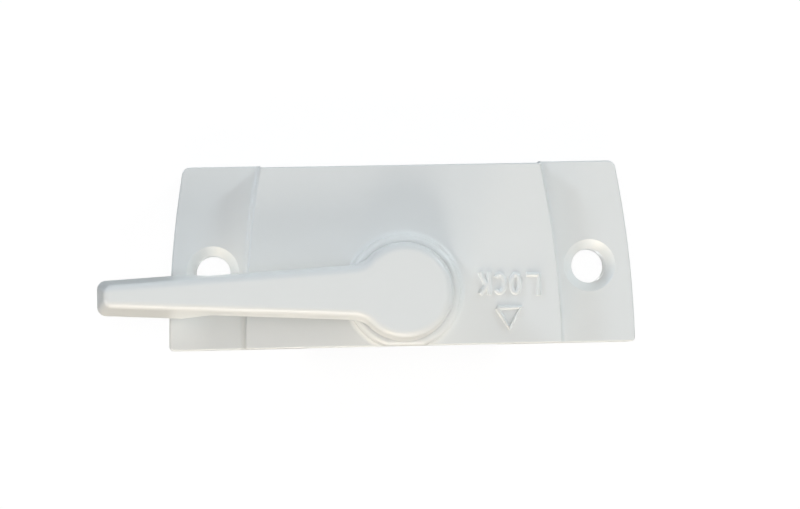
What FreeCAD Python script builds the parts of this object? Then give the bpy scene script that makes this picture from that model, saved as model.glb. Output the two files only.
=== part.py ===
"""Sliding window lock: a cast housing with two screw ears, a lever on its face and the cam that it turns.

Sizes are in millimetres. The lock lies on its back: Z = 0 is the face that meets the window and +Z points
into the room. The origin is midway between the two screw holes. At rest the lever points along -X, which is
unlocked. A half turn clockwise, seen from the room, swings the cam out past the lower edge (-Y) and locks.
"""
import FreeCAD, Part
import math
import os

from FreeCAD import Vector

# Housing, seen from the front
SCREW_SPACING = 63.5
EDGE_BELOW = 13.0
EDGE_ABOVE = 17.75
HALF_LENGTH = 39.2
END_RADIUS = 171.0
EAR_WIDTH = 12.7
UPPER_CORNER = 1.4
LOWER_CORNER = 0.7

# Housing, in section
EAR_HEIGHT = 4.8
CROWN_STEP = 3.0
CROWN_INSET = 0.45
STEP_EDGE_ROUND = 0.35
STEP_FOOT_ROUND = 0.9
EDGE_ROUND = 0.3
WALL = 2.0
CROWN_ROOF = 2.3
EAR_ROOF = 2.6

# Screw holes, each through a post that reaches the window
SCREW_HOLE = 5.8
COUNTERSINK = 8.8
POST = 11.6

# Pivot boss on the housing's face
PIVOT_X = 0.0
PIVOT_Y = -4.0
BOSS_RADIUS = 9.65
BOSS_HEIGHT = 2.3
BOSS_DRAFT = 6.0
BOSS_ROUND = 1.0
BOSS_FLARE = 0.8

# Lever, measured on the flat of its face before the edge is rounded
LEVER_THICKNESS = 4.5
LEVER_DRAFT = 7.5
LEVER_EDGE_ROUND = 1.25
HUB_RADIUS = 7.65
ARM_HALF_WIDTH = 4.4
TIP_HALF_WIDTH = 1.75
TIP_REACH = 49.1
TIP_CORNER = 1.5
TIP_RAKE = 1.9
ARM_FILLET = 4.5
GRIP_DEPTH = 9.3
GRIP_START = 37.0
ARM_END = 32.0

# Spindle under the lever's hub, from the boss down
JOURNAL = 8.0
DRIVE_SQUARE = 5.6
TENON = 4.4
RIVET_HEAD = 6.6
RIVET_HEIGHT = 0.5

# Cam, an eccentric plate with a hooked rim
CAM_RADIUS = 12.4
CAM_OFFSET = 5.0
CAM_LEAD = 35.0
CAM_PLATE = 2.0
RIM_WIDTH = 2.0
RIM_AHEAD = 25.0
RIM_BEHIND = 75.0
CAM_HUB_RADIUS = 6.2
CAM_FLATS = 10.0
STOP_TOOTH_REACH = 8.6
STOP_TOOTH_WIDTH = 3.4

# Stops, springs and washers
STOP_LUG_SPAN = 16.0
STOP_LUG_DEPTH = 2.1
SPRING_WASHER_BORE = 8.8
SPRING_WASHER_OUTER = 12.0
SPRING_WASHER_ROOM = 0.5
SPRING_STRIP = 0.2
LEAF_THICKNESS = 0.4
LEAF_HALF_LENGTH = 9.0
LEAF_POST = 2.4
RETAINER_OUTER = 9.6
RETAINER_THICKNESS = 0.5

# Clearances
BACK_CLEARANCE = 0.2
RUNNING_CLEARANCE = 0.05
MOVING_GAP = 0.3
SEAT_GAP = 0.03

# How far an edge may stray and still count as straight or flat
NEAR = 0.0001

# Heights that follow from the sizes above
CROWN_HEIGHT = EAR_HEIGHT + CROWN_STEP
CEILING = CROWN_HEIGHT - CROWN_ROOF
EAR_CEILING = EAR_HEIGHT - EAR_ROOF
BOSS_TOP = CROWN_HEIGHT + BOSS_HEIGHT
LEVER_UNDERSIDE = BOSS_TOP + MOVING_GAP
LEVER_TOP = LEVER_UNDERSIDE + LEVER_THICKNESS
RIVET_BOTTOM = BACK_CLEARANCE
RETAINER_BOTTOM = RIVET_BOTTOM + RIVET_HEIGHT
CAM_BOTTOM = RETAINER_BOTTOM + RETAINER_THICKNESS
CAM_PLATE_TOP = CAM_BOTTOM + CAM_PLATE
CAM_HUB_TOP = CEILING - SPRING_WASHER_ROOM
CAM_SWEEP = CAM_RADIUS + CAM_OFFSET
HANGING_BOTTOM = CAM_PLATE_TOP + MOVING_GAP
LEAF_TOP = CAM_HUB_TOP - MOVING_GAP
LEAF_NEAR_SIDE = CAM_FLATS / 2 + SEAT_GAP

UP = Vector(0, 0, 1)
PIVOT = Vector(PIVOT_X, PIVOT_Y, 0)


def prism(edges, bottom, top):
    """Raise a closed flat outline from one height to another."""
    face = Part.Face(Part.Wire(edges))
    face.translate(UP * bottom)
    return face.extrude(UP * (top - bottom))


def box(low, high):
    """A block between two corners."""
    low, high = Vector(*low), Vector(*high)
    size = high - low
    return Part.makeBox(size.x, size.y, size.z, low)


def ring(outer, inner, bottom, top, centre=Vector()):
    """A tube about a vertical axis, given by its two radii."""
    at = centre + UP * bottom
    tube = Part.makeCylinder(outer, top - bottom, at)
    return tube.cut(Part.makeCylinder(inner, top - bottom, at))


def turned(points_and_arcs, centre=Vector(), sweep=360):
    """Turn a closed profile, drawn in radius and height, about a vertical axis."""
    profile = Part.Face(Part.Wire(points_and_arcs))
    solid = profile.revolve(Vector(), UP, sweep)
    solid.translate(centre)
    return solid


def line(start, end):
    return Part.LineSegment(start, end).toShape()


def arc(start, middle, end):
    return Part.Arc(start, middle, end).toShape()


def side(radius, height):
    """A point of an upright profile, by its distance out and its height."""
    return Vector(radius, 0, height)


def block_profile(inner, outer, bottom, top):
    """A rectangular profile to be turned, between two radii and two heights."""
    corners = [side(inner, bottom), side(outer, bottom), side(outer, top), side(inner, top)]
    return [line(corners[i - 1], corners[i]) for i in range(4)]


def quarter(centre, radius, angle):
    """A point of an upright profile on an arc's circle, at an angle above the outward direction."""
    return centre + side(radius * math.cos(math.radians(angle)), radius * math.sin(math.radians(angle)))


def end_x(inset, y):
    """Half the housing's length at height y, on a curve that lies inset from its ends."""
    radius = END_RADIUS - inset
    return HALF_LENGTH - END_RADIUS + math.sqrt(radius ** 2 - (y + EDGE_BELOW) ** 2)


def plan(inset, end_inset):
    """The housing's outline seen from the front, drawn in from its long edges and from its two ends."""
    low, high = -EDGE_BELOW + inset, EDGE_ABOVE - inset
    middle = (low + high) / 2
    corners = {
        (sign, y): Vector(sign * end_x(end_inset, y), y, 0)
        for sign in (-1, 1)
        for y in (low, middle, high)
    }
    return [
        line(corners[-1, low], corners[1, low]),
        arc(corners[1, low], corners[1, middle], corners[1, high]),
        line(corners[1, high], corners[-1, high]),
        arc(corners[-1, high], corners[-1, middle], corners[-1, low]),
    ]


def upright_edges(solid, y):
    """The vertical corner edges nearest to a height y seen from the front."""
    upright = [e for e in solid.Edges if e.BoundBox.XLength < NEAR and e.BoundBox.YLength < NEAR]
    return [e for e in upright if abs(e.CenterOfMass.y - y) < WALL]


def ear_cutter(sign):
    """What is taken off above one ear, with the step's rounded edge and filleted foot."""
    centre = Vector(sign * (HALF_LENGTH - END_RADIUS), -EDGE_BELOW, 0)
    crease = END_RADIUS - EAR_WIDTH
    edge_centre = side(crease - STEP_EDGE_ROUND, CROWN_HEIGHT - STEP_EDGE_ROUND)
    foot_centre = side(crease + STEP_FOOT_ROUND, EAR_HEIGHT + STEP_FOOT_ROUND)
    beyond, above = END_RADIUS + EAR_WIDTH, CROWN_HEIGHT + WALL
    edge = [quarter(edge_centre, STEP_EDGE_ROUND, a) for a in (90, 45, 0)]
    foot = [quarter(foot_centre, STEP_FOOT_ROUND, a) for a in (180, 225, 270)]
    profile = [
        arc(*edge),
        line(edge[2], foot[0]),
        arc(*foot),
        line(foot[2], side(beyond, EAR_HEIGHT)),
        line(side(beyond, EAR_HEIGHT), side(beyond, above)),
        line(side(beyond, above), side(edge[0].x, above)),
        line(side(edge[0].x, above), edge[0]),
    ]
    half_sweep = math.degrees(math.asin(2 * EDGE_ABOVE / crease))
    cutter = turned(profile, sweep=2 * half_sweep)
    facing = 0 if sign > 0 else 180
    cutter.rotate(Vector(), UP, facing - half_sweep)
    cutter.translate(centre)
    return cutter


def front_edges(solid):
    """The edges that run round the front of the shell, where its face meets its walls."""
    chosen = []
    for edge in solid.Edges:
        extent = edge.BoundBox
        on_face = extent.ZMin > EAR_HEIGHT - EDGE_ROUND
        on_long_wall = extent.YLength < NEAR
        on_end = extent.ZLength < NEAR and abs(edge.CenterOfMass.x) > HALF_LENGTH - EAR_WIDTH / 2
        if on_face and (on_long_wall or on_end):
            chosen.append(edge)
    return chosen


def crown_trim():
    """What is taken off the crown's upper wall, which lies inside the ears', with its rounded edge."""
    wall_y = EDGE_ABOVE - CROWN_INSET
    beyond, above = EDGE_ABOVE + WALL, CROWN_HEIGHT + WALL
    edge_centre = side(wall_y - EDGE_ROUND, CROWN_HEIGHT - EDGE_ROUND)
    edge = [quarter(edge_centre, EDGE_ROUND, a) for a in (90, 45, 0)]
    outside = [side(wall_y, 0), side(beyond, 0), side(beyond, above), side(edge[0].x, above)]
    corners = [edge[2]] + outside + [edge[0]]
    profile = Part.Face(Part.Wire([arc(*edge)] + [line(*pair) for pair in zip(corners, corners[1:])]))
    half = end_x(EAR_WIDTH, EDGE_ABOVE)
    trim = profile.extrude(Vector(0, 2 * half, 0))
    trim.rotate(Vector(), UP, 90)
    trim.translate(Vector(half, 0, 0))
    return trim


def boss():
    """The round boss that carries the lever, drafted, rounded at its rim and flush with the lower wall."""
    height = BOSS_TOP - CEILING
    foot_radius = BOSS_RADIUS + (CROWN_HEIGHT - CEILING) * math.tan(math.radians(BOSS_DRAFT))
    top_radius = BOSS_RADIUS - BOSS_HEIGHT * math.tan(math.radians(BOSS_DRAFT))
    body = Part.makeCone(foot_radius, top_radius, height, PIVOT + UP * CEILING)
    reach = 2 * BOSS_RADIUS
    kept = box((PIVOT_X - reach, -EDGE_BELOW, CEILING), (PIVOT_X + reach, EDGE_ABOVE, BOSS_TOP))
    body = body.common(kept)
    rim = [e for e in body.Edges if e.BoundBox.ZMin > BOSS_TOP - NEAR]
    return body.makeFillet(BOSS_ROUND, rim)


def boss_flare():
    """The fillet at the boss's foot, which ends where the housing's lower edge starts to round off."""
    hollow_centre = side(BOSS_RADIUS + BOSS_FLARE, CROWN_HEIGHT + BOSS_FLARE)
    hollow = [quarter(hollow_centre, BOSS_FLARE, a) for a in (180, 225, 270)]
    inner = BOSS_RADIUS - BOSS_ROUND
    ring_of_metal = turned([
        line(side(inner, CROWN_HEIGHT), hollow[2]),
        arc(hollow[2], hollow[1], hollow[0]),
        line(hollow[0], side(inner, hollow[0].z)),
        line(side(inner, hollow[0].z), side(inner, CROWN_HEIGHT)),
    ], PIVOT)
    reach = 2 * BOSS_RADIUS
    kept = box((PIVOT_X - reach, -EDGE_BELOW + EDGE_ROUND, 0), (PIVOT_X + reach, EDGE_ABOVE, BOSS_TOP))
    return ring_of_metal.common(kept)


def screw_centres():
    return [Vector(sign * SCREW_SPACING / 2, 0, 0) for sign in (-1, 1)]


def screw_hole(centre):
    """A countersunk hole through an ear and the post under it."""
    sink_depth = (COUNTERSINK - SCREW_HOLE) / 2
    sink = Part.makeCone(SCREW_HOLE / 2, COUNTERSINK / 2, sink_depth, centre + UP * (EAR_HEIGHT - sink_depth))
    return sink.fuse(Part.makeCylinder(SCREW_HOLE / 2, EAR_HEIGHT, centre))


def cam_opening():
    """The gap in the lower wall that the cam swings out through, as wide as its sweep on either hand."""
    wall_inside = EDGE_BELOW + PIVOT_Y - WALL
    half = math.sqrt(CAM_SWEEP ** 2 - wall_inside ** 2) + MOVING_GAP
    return box((PIVOT_X - half, -2 * EDGE_BELOW, 0), (PIVOT_X + half, -EDGE_BELOW + 2 * WALL, CEILING))


def stop_lugs():
    """Two lugs under the roof that stop the cam's tooth after half a turn."""
    outer = STOP_TOOTH_REACH + MOVING_GAP
    inner = outer - STOP_LUG_DEPTH
    tooth_edge = math.degrees(math.asin((STOP_TOOTH_WIDTH / 2 + MOVING_GAP) / inner))
    lugs = []
    for start in (tooth_edge, 180 - tooth_edge - STOP_LUG_SPAN):
        lug = turned(block_profile(inner, outer, HANGING_BOTTOM, CEILING), sweep=STOP_LUG_SPAN)
        lug.rotate(Vector(), UP, start)
        lug.translate(PIVOT)
        lugs.append(lug)
    return lugs


def leaf_posts():
    """Two posts under the roof that hold the ends of the leaf spring."""
    middle = LEAF_NEAR_SIDE + LEAF_THICKNESS / 2
    far = LEAF_HALF_LENGTH + SEAT_GAP
    low = Vector(far - LEAF_POST, middle - LEAF_POST / 2, HANGING_BOTTOM)
    posts = []
    for x in (low.x, -far):
        post = Part.makeBox(LEAF_POST, LEAF_POST, CEILING - HANGING_BOTTOM, Vector(x, low.y, low.z))
        post.translate(PIVOT)
        posts.append(post)
    return posts


def leaf_slot():
    """The slot through both posts that the leaf spring is pushed into from the back."""
    far = LEAF_HALF_LENGTH + SEAT_GAP
    slot = box(
        (-far, LEAF_NEAR_SIDE - SEAT_GAP, HANGING_BOTTOM),
        (far, LEAF_NEAR_SIDE + LEAF_THICKNESS + SEAT_GAP, LEAF_TOP + SEAT_GAP),
    )
    slot.translate(PIVOT)
    return slot


def housing():
    """The cast shell: stepped face, boss, hollow back, screw posts, stops and spring posts."""
    shell = prism(plan(0, 0), 0, CROWN_HEIGHT)
    shell = shell.makeFillet(UPPER_CORNER, upright_edges(shell, EDGE_ABOVE))
    shell = shell.makeFillet(LOWER_CORNER, upright_edges(shell, -EDGE_BELOW))
    shell = shell.cut([ear_cutter(-1), ear_cutter(1)])
    shell = shell.makeFillet(EDGE_ROUND, front_edges(shell)).cut(crown_trim())
    hollow = prism(plan(WALL, WALL), 0, EAR_CEILING)
    crown_hollow = prism(plan(WALL, EAR_WIDTH + WALL), 0, CEILING)
    shell = shell.cut([hollow, crown_hollow])
    posts = [Part.makeCylinder(POST / 2, EAR_CEILING, centre) for centre in screw_centres()]
    shell = shell.fuse(posts + [boss(), boss_flare()])
    shell = shell.cut([screw_hole(centre) for centre in screw_centres()] + [cam_opening()])
    shell = shell.fuse(stop_lugs() + leaf_posts())
    bore = Part.makeCylinder(JOURNAL / 2 + RUNNING_CLEARANCE, BOSS_TOP, PIVOT)
    return shell.cut([bore, leaf_slot()]).removeSplitter()


def lever_outline(spread, rake, height):
    """The lever seen from the front, spread outwards by its draft, pointing along -X from the pivot."""
    hub = HUB_RADIUS + spread
    slope = (ARM_HALF_WIDTH - TIP_HALF_WIDTH) / TIP_REACH
    along = Vector(1, slope, 0).normalize()
    outward = Vector(-along.y, along.x, 0)
    side_distance = ARM_HALF_WIDTH * outward.y + spread
    tip = -TIP_REACH - rake
    corner_x = tip + TIP_CORNER
    corner_y = (side_distance - TIP_CORNER - outward.x * corner_x) / outward.y
    corner = Vector(corner_x, corner_y, 0)
    fillet_height = side_distance + ARM_FILLET
    fillet_back = math.sqrt((hub + ARM_FILLET) ** 2 - fillet_height ** 2)
    fillet = outward * fillet_height - along * fillet_back
    on_side = fillet - outward * ARM_FILLET
    on_hub = fillet * (hub / (hub + ARM_FILLET))
    towards = ((on_side + on_hub) * 0.5 - fillet).normalize()
    tip_end = corner - Vector(TIP_CORNER, 0, 0)
    corner_middle = corner + (outward - Vector(1, 0, 0)).normalize() * TIP_CORNER
    corner_end = corner + outward * TIP_CORNER
    upper = [tip_end, corner_middle, corner_end, on_side, fillet + towards * ARM_FILLET, on_hub]
    lower = [Vector(p.x, -p.y, 0) for p in upper]
    edges = [
        line(lower[0], upper[0]),
        arc(*upper[0:3]),
        line(upper[2], upper[3]),
        arc(*upper[3:6]),
        arc(upper[5], Vector(hub, 0, 0), lower[5]),
        arc(lower[5], lower[4], lower[3]),
        line(lower[3], lower[2]),
        arc(lower[2], lower[1], lower[0]),
    ]
    wire = Part.Wire(edges)
    wire.translate(UP * height)
    return wire


def arm_relief():
    """What is taken away under the hub and the arm, so that only the grip reaches down."""
    deep = LEVER_TOP - GRIP_DEPTH
    clear = 2 * HUB_RADIUS
    corners = [
        Vector(clear, -clear, LEVER_UNDERSIDE),
        Vector(-ARM_END, -clear, LEVER_UNDERSIDE),
        Vector(-GRIP_START, -clear, deep),
        Vector(-GRIP_START, -clear, 0),
        Vector(clear, -clear, 0),
    ]
    profile = Part.Face(Part.makePolygon(corners + corners[:1]))
    return profile.extrude(Vector(0, 2 * clear, 0))


def spindle():
    """The lever's spindle: a round journal, a square for the cam and a tenon that is riveted over."""
    half = DRIVE_SQUARE / 2
    journal = Part.makeCylinder(JOURNAL / 2, LEVER_UNDERSIDE - CAM_HUB_TOP, UP * CAM_HUB_TOP)
    square = box((-half, -half, CAM_BOTTOM), (half, half, CAM_HUB_TOP))
    tenon = Part.makeCylinder(TENON / 2, RETAINER_THICKNESS, UP * RETAINER_BOTTOM)
    head = Part.makeCone(TENON / 2, RIVET_HEAD / 2, RIVET_HEIGHT, UP * RIVET_BOTTOM)
    return journal.fuse([square, tenon, head])


def lever():
    """The lever with its hub, tapered arm, deep grip and spindle, cast as one piece."""
    spread = GRIP_DEPTH * math.tan(math.radians(LEVER_DRAFT))
    outlines = [
        lever_outline(spread, TIP_RAKE, LEVER_TOP - GRIP_DEPTH),
        lever_outline(0, 0, LEVER_TOP),
    ]
    handle = Part.makeLoft(outlines, True, True)
    rim = [e for e in handle.Edges if e.BoundBox.ZMin > LEVER_TOP - NEAR]
    handle = handle.makeFillet(LEVER_EDGE_ROUND, rim)
    handle = handle.cut(arm_relief()).fuse(spindle()).removeSplitter()
    handle.translate(PIVOT)
    return handle


def cam():
    """The eccentric cam: plate, hooked rim, hub with two detent flats and the tooth that meets the stops."""
    lead = 90 - CAM_LEAD
    centre = Vector(math.cos(math.radians(lead)), math.sin(math.radians(lead)), 0) * CAM_OFFSET
    plate = Part.makeCylinder(CAM_RADIUS, CAM_PLATE, centre + UP * CAM_BOTTOM)
    inner = CAM_RADIUS - RIM_WIDTH
    rim = turned(block_profile(inner, CAM_RADIUS, CAM_BOTTOM, CAM_HUB_TOP), sweep=RIM_AHEAD + RIM_BEHIND)
    rim.rotate(Vector(), UP, lead - RIM_AHEAD)
    rim.translate(centre)
    flats = box((-CAM_SWEEP, -CAM_FLATS / 2, CAM_BOTTOM), (CAM_SWEEP, CAM_FLATS / 2, CAM_HUB_TOP))
    hub = Part.makeCylinder(CAM_HUB_RADIUS, CAM_HUB_TOP - CAM_BOTTOM, UP * CAM_BOTTOM).common(flats)
    half = STOP_TOOTH_WIDTH / 2
    tooth = box((0, -half, CAM_BOTTOM), (STOP_TOOTH_REACH, half, CAM_HUB_TOP))
    body = plate.fuse([rim, hub, tooth])
    square = DRIVE_SQUARE / 2 + RUNNING_CLEARANCE
    body = body.cut(box((-square, -square, 0), (square, square, CEILING))).removeSplitter()
    body.translate(PIVOT)
    return body


def spring_washer():
    """The dished washer between the roof and the cam's hub, which keeps the lever from rattling."""
    inner, outer = SPRING_WASHER_BORE / 2, SPRING_WASHER_OUTER / 2
    low = CAM_HUB_TOP + RUNNING_CLEARANCE
    high = CEILING - RUNNING_CLEARANCE
    corners = [
        side(inner, low),
        side(outer, high - SPRING_STRIP),
        side(outer, high),
        side(inner, low + SPRING_STRIP),
    ]
    return turned([line(corners[i - 1], corners[i]) for i in range(4)], PIVOT)


def detent_spring():
    """The leaf spring that lies on a flat of the cam's hub and holds the lever at either end of its turn."""
    leaf = box(
        (-LEAF_HALF_LENGTH, LEAF_NEAR_SIDE, HANGING_BOTTOM),
        (LEAF_HALF_LENGTH, LEAF_NEAR_SIDE + LEAF_THICKNESS, LEAF_TOP),
    )
    leaf.translate(PIVOT)
    return leaf


def retaining_washer():
    """The washer under the cam that the spindle's tenon is riveted over."""
    return ring(RETAINER_OUTER / 2, TENON / 2 + RUNNING_CLEARANCE, RETAINER_BOTTOM, CAM_BOTTOM, PIVOT)


PIECES = {
    "housing": housing,
    "lever": lever,
    "cam": cam,
    "spring_washer": spring_washer,
    "detent_spring": detent_spring,
    "retaining_washer": retaining_washer,
}

os.makedirs("parts", exist_ok=True)
for name, make in PIECES.items():
    shape = make()
    shape.exportStep(f"parts/{name}.step")
    print(name, len(shape.Solids), "solid", round(shape.Volume, 2), "mm3", shape.isValid())
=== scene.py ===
"""The looks of a sliding window lock: painted castings, bare metal works, a raised legend and a stage."""
import math

import bpy
from mathutils import Matrix, Vector


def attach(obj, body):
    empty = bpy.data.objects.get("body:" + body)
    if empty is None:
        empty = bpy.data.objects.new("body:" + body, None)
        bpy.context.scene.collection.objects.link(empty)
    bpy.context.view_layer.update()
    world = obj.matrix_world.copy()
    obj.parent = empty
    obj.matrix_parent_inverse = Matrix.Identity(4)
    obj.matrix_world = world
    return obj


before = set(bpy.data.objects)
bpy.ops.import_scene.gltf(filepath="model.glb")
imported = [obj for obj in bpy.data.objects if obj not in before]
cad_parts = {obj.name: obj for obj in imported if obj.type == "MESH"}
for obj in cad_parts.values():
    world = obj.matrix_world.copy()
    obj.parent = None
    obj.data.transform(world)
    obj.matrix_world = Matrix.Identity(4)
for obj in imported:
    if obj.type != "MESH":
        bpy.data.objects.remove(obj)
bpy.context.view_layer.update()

bl_info = {
    "name": "Sliding window lock",
    "version": (1, 0, 0),
    "blender": (4, 5, 0),
    "location": "3D View > Sidebar > Window Lock",
    "description": "Dresses the packed lock with its paint, metals, raised legend and stage",
    "category": "Object",
}

MM = 0.001
CROWN_TOP = 7.8 * MM
SCREW_X = 31.75 * MM

# Enamel: width of its faint clouds, depth and strength of its ripple, and how far its roughness varies
CLOUD_WIDTH = 9.0 * MM
RIPPLE_DEPTH = 0.02 * MM
RIPPLE_STRENGTH = 0.06
SHEEN_SPREAD = 0.04
ENAMEL_IOR = 1.5

# Bare metals: the part of the noise that makes their marks, the marks' shade, depth and strength, and how
# far the roughness varies
MARKS_FROM, MARKS_TO = 0.35, 0.65
MARK_SHADE = 0.78
MARK_DEPTH = 0.02 * MM
MARK_STRENGTH = 0.35
SHINE_SPREAD = 0.08

# Legend: steps round a bead, and the grain and the smoothing of the skin that joins the beads
BEAD_STEPS = 6
SKIN_VOXEL = 0.05 * MM
SKIN_PASSES = 4

# The photograph's frame and the camera that took it, which looked down on the housing's face
PHOTO_WIDTH = 800
FOCAL_PIXELS = 2089.0
SENSOR_WIDTH = 36.0
CAMERA_DISTANCE = 350.0 * MM
CAMERA_NEAR = 10.0 * MM
CAMERA_AIM = Vector((-0.39, 2.34, 6.5)) * MM
CAMERA_TILT, CAMERA_PAN, CAMERA_ROLL = 3.02, -3.10, -1.12

# Floor: half its width in metres, how far it lies below the lock, and the size of its paper's fibres
FLOOR_HALF = 3.0
FLOOR_DROP = 0.1 * MM
FIBRE_WIDTH = 2.0 * MM
# Greys of the paper for the light that it throws back, for reflections and for the shadow that the camera
# sees, and the glow that makes the rest of it white
BOUNCE_GREYS = ("#484A4A", "#4E5050")
MIRRORED_GREY = "#9A9C9C"
SHADOW_GREY = "#606060"
PAPER_GLOW = 0.92

# Lamps: two small ones for glints on the rims, and one under each screw hole for the glow of the white paper
# there
GLINT_PLACES = {"upper_left": (-0.36, 0.3, 0.55), "upper_right": (0.36, 0.3, 0.55)}
GLINT_SIDE = 50.0 * MM
GLINT_COLOUR = "#FBFDFF"
HOLE_PLACES = {"left_hole": (-SCREW_X, 0, 0), "right_hole": (SCREW_X, 0, 0)}
HOLE_LAMP_SIDE = 4.0 * MM
HOLE_COLOUR = "#FFFFFF"

EVEN_COLOUR = "#FFFFFC"
# Windows round the stage: side as an angle from +X, height above the floor, widths of the bright core and of
# the soft edge, all in degrees, then colour and strength
WINDOWS = {
    "overhead": (90, 85, 8, 36, "#F4F6FF", 0.66),
    "upper_left": (143, 17, 1.5, 6, "#E2F0FF", 48.0),
    "upper_right": (37, 17, 1.5, 6, "#EAF8FF", 54.0),
    "lower": (-90, 8, 6, 26, "#F6F4F0", 3.0),
    "lower_high": (-90, 27, 3, 12, "#FFF6EA", 9.6),
    "lower_left": (-110, 10, 3, 12, "#FFEACB", 11.2),
}


def linear(hex_colour):
    """The linear RGB of an sRGB hex value."""
    values = [int(hex_colour[i:i + 2], 16) / 255 for i in (1, 3, 5)]
    return [v / 12.92 if v <= 0.04045 else ((v + 0.055) / 1.055) ** 2.4 for v in values]


def rgba(colour):
    """A colour with full alpha, as a colour socket takes it."""
    return (*colour, 1.0)


class EnamelSettings(bpy.types.PropertyGroup):
    """The paint on the two castings."""

    colour: bpy.props.FloatVectorProperty(
        name="Colour", description="White of the enamel",
        subtype="COLOR", size=3, min=0, max=1, default=linear("#EDEFEE"))
    shade: bpy.props.FloatVectorProperty(
        name="Shade", description="White where the coat is a little thinner",
        subtype="COLOR", size=3, min=0, max=1, default=linear("#EAECEB"))
    roughness: bpy.props.FloatProperty(
        name="Roughness", description="Blur of the semi-gloss surface",
        subtype="FACTOR", min=0, max=1, default=0.3)
    ripple: bpy.props.FloatProperty(
        name="Ripple", description="Width of the coat's ripples", unit="LENGTH", min=0, default=1.6 * MM)


class WorksSettings(bpy.types.PropertyGroup):
    """The bare metals behind the face."""

    zinc: bpy.props.FloatVectorProperty(
        name="Zinc", description="Tumbled cast zinc of the cam",
        subtype="COLOR", size=3, min=0, max=1, default=linear("#D3D5D4"))
    spring: bpy.props.FloatVectorProperty(
        name="Spring steel", description="Rolled strip of the springs",
        subtype="COLOR", size=3, min=0, max=1, default=linear("#A2A8AD"))
    plating: bpy.props.FloatVectorProperty(
        name="Plating", description="Zinc plating of the washer",
        subtype="COLOR", size=3, min=0, max=1, default=linear("#CBD0D3"))


class LegendSettings(bpy.types.PropertyGroup):
    """The raised mark that shows which way the lever locks."""

    centre: bpy.props.FloatVectorProperty(
        name="Word centre", description="Middle of the word on the crown",
        subtype="XYZ", unit="LENGTH", size=2, default=(17.75 * MM, -2.95 * MM))
    turn: bpy.props.FloatProperty(
        name="Word turn", description="How far the word is turned on the crown",
        subtype="ANGLE", default=math.radians(178.4))
    length: bpy.props.FloatProperty(
        name="Word length", description="From the first letter to the last",
        unit="LENGTH", default=9.85 * MM)
    height: bpy.props.FloatProperty(
        name="Letter height", description="Height of a letter", unit="LENGTH", default=3.05 * MM)
    stroke: bpy.props.FloatProperty(
        name="Stroke", description="Width of a raised stroke", unit="LENGTH", default=0.85 * MM)
    relief: bpy.props.FloatProperty(
        name="Relief", description="How far a stroke stands out of the crown",
        unit="LENGTH", default=0.4 * MM)
    arrow_centre: bpy.props.FloatVectorProperty(
        name="Triangle centre", description="Middle of the triangle's base",
        subtype="XYZ", unit="LENGTH", size=2, default=(17.55 * MM, -7.0 * MM))
    arrow_width: bpy.props.FloatProperty(
        name="Triangle width", description="Length of the base", unit="LENGTH", default=3.9 * MM)
    arrow_height: bpy.props.FloatProperty(
        name="Triangle height", description="From the base to the point", unit="LENGTH", default=3.4 * MM)


class StageSettings(bpy.types.PropertyGroup):
    """The light round the lock."""

    even_light: bpy.props.FloatProperty(
        name="Even light", description="Strength of the light from all round", min=0, default=0.395)
    window_light: bpy.props.FloatProperty(
        name="Window light", description="Share of the windows' full strength",
        subtype="FACTOR", min=0, max=1, default=1)
    glint: bpy.props.FloatProperty(
        name="Glint", description="Power of each of the two small upper lamps", unit="POWER", default=0.04)
    hole_glow: bpy.props.FloatProperty(
        name="Hole glow", description="Power of the paper's glow under a screw hole",
        unit="POWER", default=9e-5)


def new_material(name):
    """An empty material, its node tree and its output node."""
    material = bpy.data.materials.new(name)
    material.use_nodes = True
    material.node_tree.nodes.clear()
    return material, material.node_tree, material.node_tree.nodes.new("ShaderNodeOutputMaterial")


def add(tree, kind, links=None, **settings):
    """Adds a node, sets its properties and sockets, and links other nodes' sockets to its inputs."""
    node = tree.nodes.new(kind)
    for key, value in settings.items():
        if hasattr(node, key):
            setattr(node, key, value)
        else:
            node.inputs[key.replace("_", " ")].default_value = value
    for name, socket in (links or {}).items():
        tree.links.new(socket, node.inputs[name])
    return node


def enamel(settings):
    """Semi-gloss white enamel, sprayed on cast zinc and stoved.

    It gives an even cool white with soft highlights, a faint ripple where the coat levelled before it set
    and a slightly greyer white where it lies thin.
    """
    material, tree, output = new_material("stoved_white_enamel")
    place = add(tree, "ShaderNodeTexCoord").outputs["Object"]
    cloud = add(tree, "ShaderNodeTexNoise", {"Vector": place}, Scale=1 / CLOUD_WIDTH, Detail=2.0)
    tint = add(tree, "ShaderNodeMix", {"Factor": cloud.outputs["Fac"]}, data_type="RGBA")
    tint.inputs["A"].default_value = rgba(settings.shade)
    tint.inputs["B"].default_value = rgba(settings.colour)
    ripple = add(tree, "ShaderNodeTexNoise", {"Vector": place}, Scale=1 / settings.ripple, Detail=1.0)
    bump = add(
        tree, "ShaderNodeBump", {"Height": ripple.outputs["Fac"]},
        Strength=RIPPLE_STRENGTH, Distance=RIPPLE_DEPTH)
    sheen = add(
        tree, "ShaderNodeMapRange", {"Value": cloud.outputs["Fac"]},
        To_Min=settings.roughness - SHEEN_SPREAD, To_Max=settings.roughness + SHEEN_SPREAD)
    shader = add(tree, "ShaderNodeBsdfPrincipled", {
        "Base Color": tint.outputs["Result"],
        "Roughness": sheen.outputs["Result"],
        "Normal": bump.outputs["Normal"],
    }, IOR=ENAMEL_IOR)
    tree.links.new(shader.outputs["BSDF"], output.inputs["Surface"])
    return material


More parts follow.
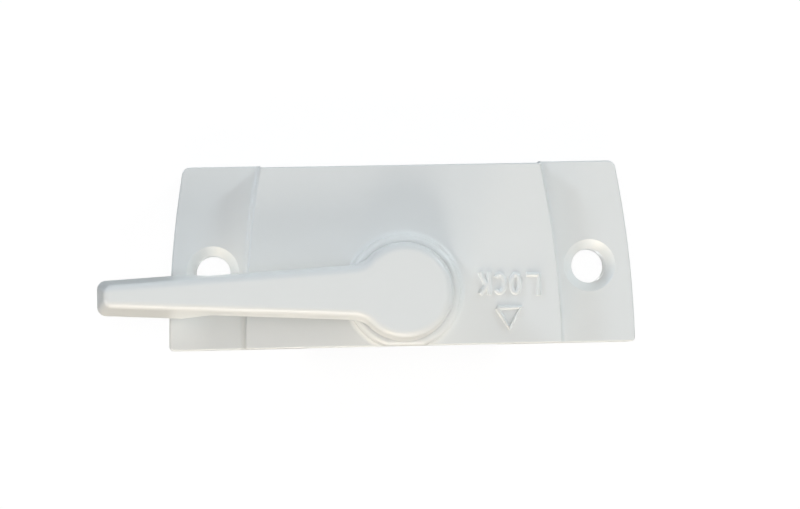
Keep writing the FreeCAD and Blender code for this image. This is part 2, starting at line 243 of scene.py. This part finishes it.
def bare_metal(name, colour, roughness, grain, stretch):
    """A bare metal whose grain, a noise drawn out along one way, breaks up its shine and its colour."""
    material, tree, output = new_material(name)
    place = add(tree, "ShaderNodeTexCoord").outputs["Object"]
    drawn = add(tree, "ShaderNodeMapping", {"Vector": place}, Scale=(1.0, stretch, 1.0)).outputs["Vector"]
    noise = add(tree, "ShaderNodeTexNoise", {"Vector": drawn}, Scale=1 / grain, Detail=4.0)
    marks = add(
        tree, "ShaderNodeMapRange", {"Value": noise.outputs["Fac"]},
        From_Min=MARKS_FROM, From_Max=MARKS_TO).outputs["Result"]
    tint = add(tree, "ShaderNodeMix", {"Factor": marks}, data_type="RGBA")
    tint.inputs["A"].default_value = rgba([MARK_SHADE * c for c in colour])
    tint.inputs["B"].default_value = rgba(colour)
    shine = add(
        tree, "ShaderNodeMapRange", {"Value": marks},
        To_Min=roughness - SHINE_SPREAD, To_Max=roughness + SHINE_SPREAD)
    bump = add(tree, "ShaderNodeBump", {"Height": marks}, Strength=MARK_STRENGTH, Distance=MARK_DEPTH)
    shader = add(tree, "ShaderNodeBsdfPrincipled", {
        "Base Color": tint.outputs["Result"],
        "Roughness": shine.outputs["Result"],
        "Normal": bump.outputs["Normal"],
    }, Metallic=1.0)
    tree.links.new(shader.outputs["BSDF"], output.inputs["Surface"])
    return material


def finish_node(name, material):
    """Gives a CAD node its material."""
    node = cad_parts[name]
    node.data.materials.clear()
    node.data.materials.append(material)


class LOCK_OT_castings(bpy.types.Operator):
    """Paint the housing and the lever"""

    bl_idname = "window_lock.castings"
    bl_label = "Paint castings"

    def execute(self, context):
        material = enamel(context.scene.lock_enamel)
        for name in ("housing", "lever"):
            finish_node(name, material)
        return {"FINISHED"}


class LOCK_OT_works(bpy.types.Operator):
    """Finish the cam, the springs and the washer behind the face"""

    bl_idname = "window_lock.works"
    bl_label = "Finish works"

    def execute(self, context):
        colours = context.scene.lock_works
        # Tumbling leaves cast zinc a soft mottled grey, with marks drawn coarser here so that they show
        zinc = bare_metal(
            "tumbled_cast_zinc", colours.zinc, roughness=0.42, grain=0.7 * MM, stretch=1.0)
        # Rolling gives spring steel a darker shine, with its grain drawn out along the strip
        strip = bare_metal(
            "rolled_spring_steel", colours.spring, roughness=0.3, grain=0.25 * MM, stretch=12.0)
        # Zinc plating is brighter and smoother, with a fine spangle
        plating = bare_metal(
            "zinc_plated_steel", colours.plating, roughness=0.26, grain=0.4 * MM, stretch=1.0)
        finish_node("cam", zinc)
        finish_node("spring_washer", strip)
        finish_node("detent_spring", strip)
        finish_node("retaining_washer", plating)
        return {"FINISHED"}


def ellipse(centre, radii, start, end, steps=28):
    """Points along an ellipse between two angles in degrees."""
    angles = [math.radians(start + (end - start) * i / steps) for i in range(steps + 1)]
    return [(centre[0] + radii[0] * math.cos(a), centre[1] + radii[1] * math.sin(a)) for a in angles]


# Strokes of the word's letters, each in a cell one unit high, after the letter's width; straight strokes run
# on past the cell, so that they end level with the outsides of the round ones
LETTERS = {
    "L": (0.68, [[(0, 1.14), (0, 0), (0.68, 0)]]),
    "O": (0.46, [ellipse((0.23, 0.5), (0.23, 0.5), 0, 360)]),
    "C": (0.46, [ellipse((0.26, 0.5), (0.26, 0.5), 42, 318)]),
    "K": (0.5, [[(0, -0.14), (0, 1.14)], [(0.5, 1.1), (0, 0.42)], [(0.17, 0.62), (0.5, -0.12)]]),
}
WORD = "LOCK"


def word_strokes(settings):
    """The word's strokes on the crown, turned so that it reads from the far side."""
    widths = [LETTERS[letter][0] * settings.height for letter in WORD]
    gap = (settings.length - sum(widths)) / (len(WORD) - 1)
    centre = Vector(settings.centre)
    turn = Matrix.Rotation(settings.turn, 2)
    strokes = []
    start = -settings.length / 2
    for letter, width in zip(WORD, widths):
        for points in LETTERS[letter][1]:
            placed = [(start + x * settings.height, (y - 0.5) * settings.height) for x, y in points]
            strokes.append([(centre + turn @ Vector(point))[:] for point in placed])
        start += width + gap
    return strokes


def triangle_strokes(settings):
    """The outline of the triangle that points the way the cam swings out."""
    x, y = settings.arrow_centre
    half = settings.arrow_width / 2
    corners = [(x - half, y), (x + half, y), (x, y - settings.arrow_height)]
    return [corners + corners[:1]]


def raised_strokes(name, strokes, settings, material):
    """Rounded beads along strokes, sunk in the crown and melted into one skin."""
    radius = (settings.relief ** 2 + (settings.stroke / 2) ** 2) / (2 * settings.relief)
    curve = bpy.data.curves.new(name, "CURVE")
    curve.dimensions = "3D"
    curve.bevel_depth = radius
    curve.bevel_resolution = BEAD_STEPS
    curve.use_fill_caps = True
    for points in strokes:
        spline = curve.splines.new("POLY")
        spline.points.add(len(points) - 1)
        for point, (x, y) in zip(spline.points, points):
            point.co = (x, y, CROWN_TOP + settings.relief - radius, 1)
    path = bpy.data.objects.new(name + "_path", curve)
    bpy.context.scene.collection.objects.link(path)
    bpy.context.view_layer.update()
    mesh = bpy.data.meshes.new_from_object(path.evaluated_get(bpy.context.evaluated_depsgraph_get()))
    bpy.data.objects.remove(path)
    piece = bpy.data.objects.new(name, mesh)
    bpy.context.scene.collection.objects.link(piece)
    melt = piece.modifiers.new("melt", "REMESH")
    melt.mode = "VOXEL"
    melt.voxel_size = SKIN_VOXEL
    melt.use_smooth_shade = True
    soften = piece.modifiers.new("soften", "SMOOTH")
    soften.iterations = SKIN_PASSES
    mesh.materials.clear()
    mesh.materials.append(material)
    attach(piece, "housing")


class LOCK_OT_legend(bpy.types.Operator):
    """Raise the word and the triangle on the crown"""

    bl_idname = "window_lock.legend"
    bl_label = "Raise legend"

    def execute(self, context):
        settings = context.scene.lock_legend
        material = bpy.data.materials["stoved_white_enamel"]
        raised_strokes("legend_word", word_strokes(settings), settings, material)
        raised_strokes("legend_triangle", triangle_strokes(settings), settings, material)
        return {"FINISHED"}


def floor_paper():
    """Matt white paper, laid flat.

    It gives the camera a plain white with the object's shadow on it, shiny surfaces a pale grey, and the
    object little light from below.
    """
    material, tree, output = new_material("matt_white_paper")
    place = add(tree, "ShaderNodeTexCoord").outputs["Object"]
    fibre = add(tree, "ShaderNodeTexNoise", {"Vector": place}, Scale=1 / FIBRE_WIDTH, Detail=3.0)
    tint = add(tree, "ShaderNodeMix", {"Factor": fibre.outputs["Fac"]}, data_type="RGBA")
    tint.inputs["A"].default_value = rgba(linear(BOUNCE_GREYS[0]))
    tint.inputs["B"].default_value = rgba(linear(BOUNCE_GREYS[1]))
    rays = add(tree, "ShaderNodeLightPath")
    mirrored = add(
        tree, "ShaderNodeMath", {0: rays.outputs["Is Glossy Ray"], 1: rays.outputs["Is Transmission Ray"]},
        operation="MAXIMUM")
    sheet = add(tree, "ShaderNodeMix", {"Factor": mirrored.outputs["Value"]}, data_type="RGBA")
    tree.links.new(tint.outputs["Result"], sheet.inputs["A"])
    sheet.inputs["B"].default_value = rgba(linear(MIRRORED_GREY))
    bounce = add(tree, "ShaderNodeBsdfDiffuse", {"Color": sheet.outputs["Result"]})
    shadow = add(tree, "ShaderNodeBsdfDiffuse", Color=rgba(linear(SHADOW_GREY)))
    glow = add(tree, "ShaderNodeEmission", Color=(1, 1, 1, 1), Strength=PAPER_GLOW)
    seen = add(tree, "ShaderNodeAddShader", {0: shadow.outputs["BSDF"], 1: glow.outputs["Emission"]})
    choice = add(tree, "ShaderNodeMixShader", {
        "Fac": rays.outputs["Is Camera Ray"],
        1: bounce.outputs["BSDF"],
        2: seen.outputs["Shader"],
    })
    tree.links.new(choice.outputs["Shader"], output.inputs["Surface"])
    return material


def lay_floor():
    """A flat sheet of paper under the lock."""
    corners = [(x * FLOOR_HALF, y * FLOOR_HALF, 0) for x, y in ((-1, -1), (1, -1), (1, 1), (-1, 1))]
    mesh = bpy.data.meshes.new("floor")
    mesh.from_pydata(corners, [], [(0, 1, 2, 3)])
    mesh.materials.append(floor_paper())
    floor = bpy.data.objects.new("floor", mesh)
    floor.location.z = -FLOOR_DROP
    bpy.context.scene.collection.objects.link(floor)


def light_sky(settings):
    """Even light from all round with a soft-edged glow for each window; the camera alone sees it as white."""
    world = bpy.data.worlds.new("sky")
    bpy.context.scene.world = world
    world.use_nodes = True
    tree = world.node_tree
    tree.nodes.clear()
    place = add(tree, "ShaderNodeTexCoord").outputs["Generated"]
    even = add(tree, "ShaderNodeBackground", Color=rgba(linear(EVEN_COLOUR)), Strength=settings.even_light)
    total = even.outputs["Background"]
    for side, height, core, edge, colour, strength in WINDOWS.values():
        side, height, core, edge = (math.radians(angle) for angle in (side, height, core, edge))
        level = math.cos(height)
        near = add(tree, "ShaderNodeVectorMath", {0: place}, operation="DOT_PRODUCT")
        near.inputs[1].default_value = (math.cos(side) * level, math.sin(side) * level, math.sin(height))
        glow = add(
            tree, "ShaderNodeMapRange", {"Value": near.outputs["Value"]}, interpolation_type="SMOOTHSTEP",
            From_Min=math.cos(edge), From_Max=math.cos(core), To_Max=strength * settings.window_light)
        window = add(
            tree, "ShaderNodeBackground", {"Strength": glow.outputs["Result"]}, Color=rgba(linear(colour)))
        both = add(tree, "ShaderNodeAddShader", {0: total, 1: window.outputs["Background"]})
        total = both.outputs["Shader"]
    white = add(tree, "ShaderNodeBackground", Color=(1, 1, 1, 1), Strength=1.0)
    rays = add(tree, "ShaderNodeLightPath")
    choice = add(tree, "ShaderNodeMixShader", {
        "Fac": rays.outputs["Is Camera Ray"],
        1: total,
        2: white.outputs["Background"],
    })
    add(tree, "ShaderNodeOutputWorld", {"Surface": choice.outputs["Shader"]})


def hang_lamp(name, place, aim, side, power, colour):
    """A square lamp that faces a point and isn't seen itself."""
    light = bpy.data.lights.new(name, "AREA")
    light.shape = "SQUARE"
    light.size = side
    light.energy = power
    light.color = linear(colour)
    holder = bpy.data.objects.new(name, light)
    holder.location = place
    holder.rotation_euler = (Vector(aim) - Vector(place)).to_track_quat("-Z", "Y").to_euler()
    holder.visible_camera = False
    bpy.context.scene.collection.objects.link(holder)


def set_camera():
    """The camera at the photograph's viewing angle."""
    tilt, pan, roll = (math.radians(angle) for angle in (CAMERA_TILT, CAMERA_PAN, CAMERA_ROLL))
    turn = Matrix.Rotation(tilt, 3, "X") @ Matrix.Rotation(pan, 3, "Y") @ Matrix.Rotation(roll, 3, "Z")
    camera = bpy.data.cameras.new("camera")
    camera.sensor_fit = "HORIZONTAL"
    camera.sensor_width = SENSOR_WIDTH
    camera.lens = FOCAL_PIXELS * SENSOR_WIDTH / PHOTO_WIDTH
    camera.clip_start = CAMERA_NEAR
    holder = bpy.data.objects.new("camera", camera)
    holder.matrix_world = Matrix.Translation(CAMERA_AIM + turn.col[2] * CAMERA_DISTANCE) @ turn.to_4x4()
    bpy.context.scene.collection.objects.link(holder)
    bpy.context.scene.camera = holder


class LOCK_OT_stage(bpy.types.Operator):
    """Lay the floor, light the lock and set the camera"""

    bl_idname = "window_lock.stage"
    bl_label = "Set stage"

    def execute(self, context):
        settings = context.scene.lock_stage
        context.scene.view_settings.view_transform = "Standard"
        lay_floor()
        light_sky(settings)
        for name, place in GLINT_PLACES.items():
            hang_lamp(name, place, (0, 0, 0), GLINT_SIDE, settings.glint, GLINT_COLOUR)
        for name, place in HOLE_PLACES.items():
            above = (place[0], place[1], 1)
            hang_lamp(name, place, above, HOLE_LAMP_SIDE, settings.hole_glow, HOLE_COLOUR)
        set_camera()
        return {"FINISHED"}


SETTINGS = {
    "lock_enamel": EnamelSettings,
    "lock_works": WorksSettings,
    "lock_legend": LegendSettings,
    "lock_stage": StageSettings,
}
OPERATORS = (LOCK_OT_castings, LOCK_OT_works, LOCK_OT_legend, LOCK_OT_stage)


class LOCK_PT_panel(bpy.types.Panel):
    """The lock's settings and steps"""

    bl_idname = "LOCK_PT_panel"
    bl_label = "Window Lock"
    bl_space_type = "VIEW_3D"
    bl_region_type = "UI"
    bl_category = "Window Lock"

    def draw(self, context):
        for group in SETTINGS:
            settings = getattr(context.scene, group)
            for name in settings.__annotations__:
                self.layout.prop(settings, name)
        for operator in OPERATORS:
            self.layout.operator(operator.bl_idname)


def register():
    for group in SETTINGS.values():
        bpy.utils.register_class(group)
    for operator in OPERATORS:
        bpy.utils.register_class(operator)
    bpy.utils.register_class(LOCK_PT_panel)
    for name, group in SETTINGS.items():
        setattr(bpy.types.Scene, name, bpy.props.PointerProperty(type=group))


def unregister():
    for name in SETTINGS:
        delattr(bpy.types.Scene, name)
    bpy.utils.unregister_class(LOCK_PT_panel)
    for operator in reversed(OPERATORS):
        bpy.utils.unregister_class(operator)
    for group in SETTINGS.values():
        bpy.utils.unregister_class(group)


def main():
    """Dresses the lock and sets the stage."""
    register()
    bpy.ops.window_lock.castings()
    bpy.ops.window_lock.works()
    bpy.ops.window_lock.legend()
    bpy.ops.window_lock.stage()


if __name__ == "__main__":
    main()
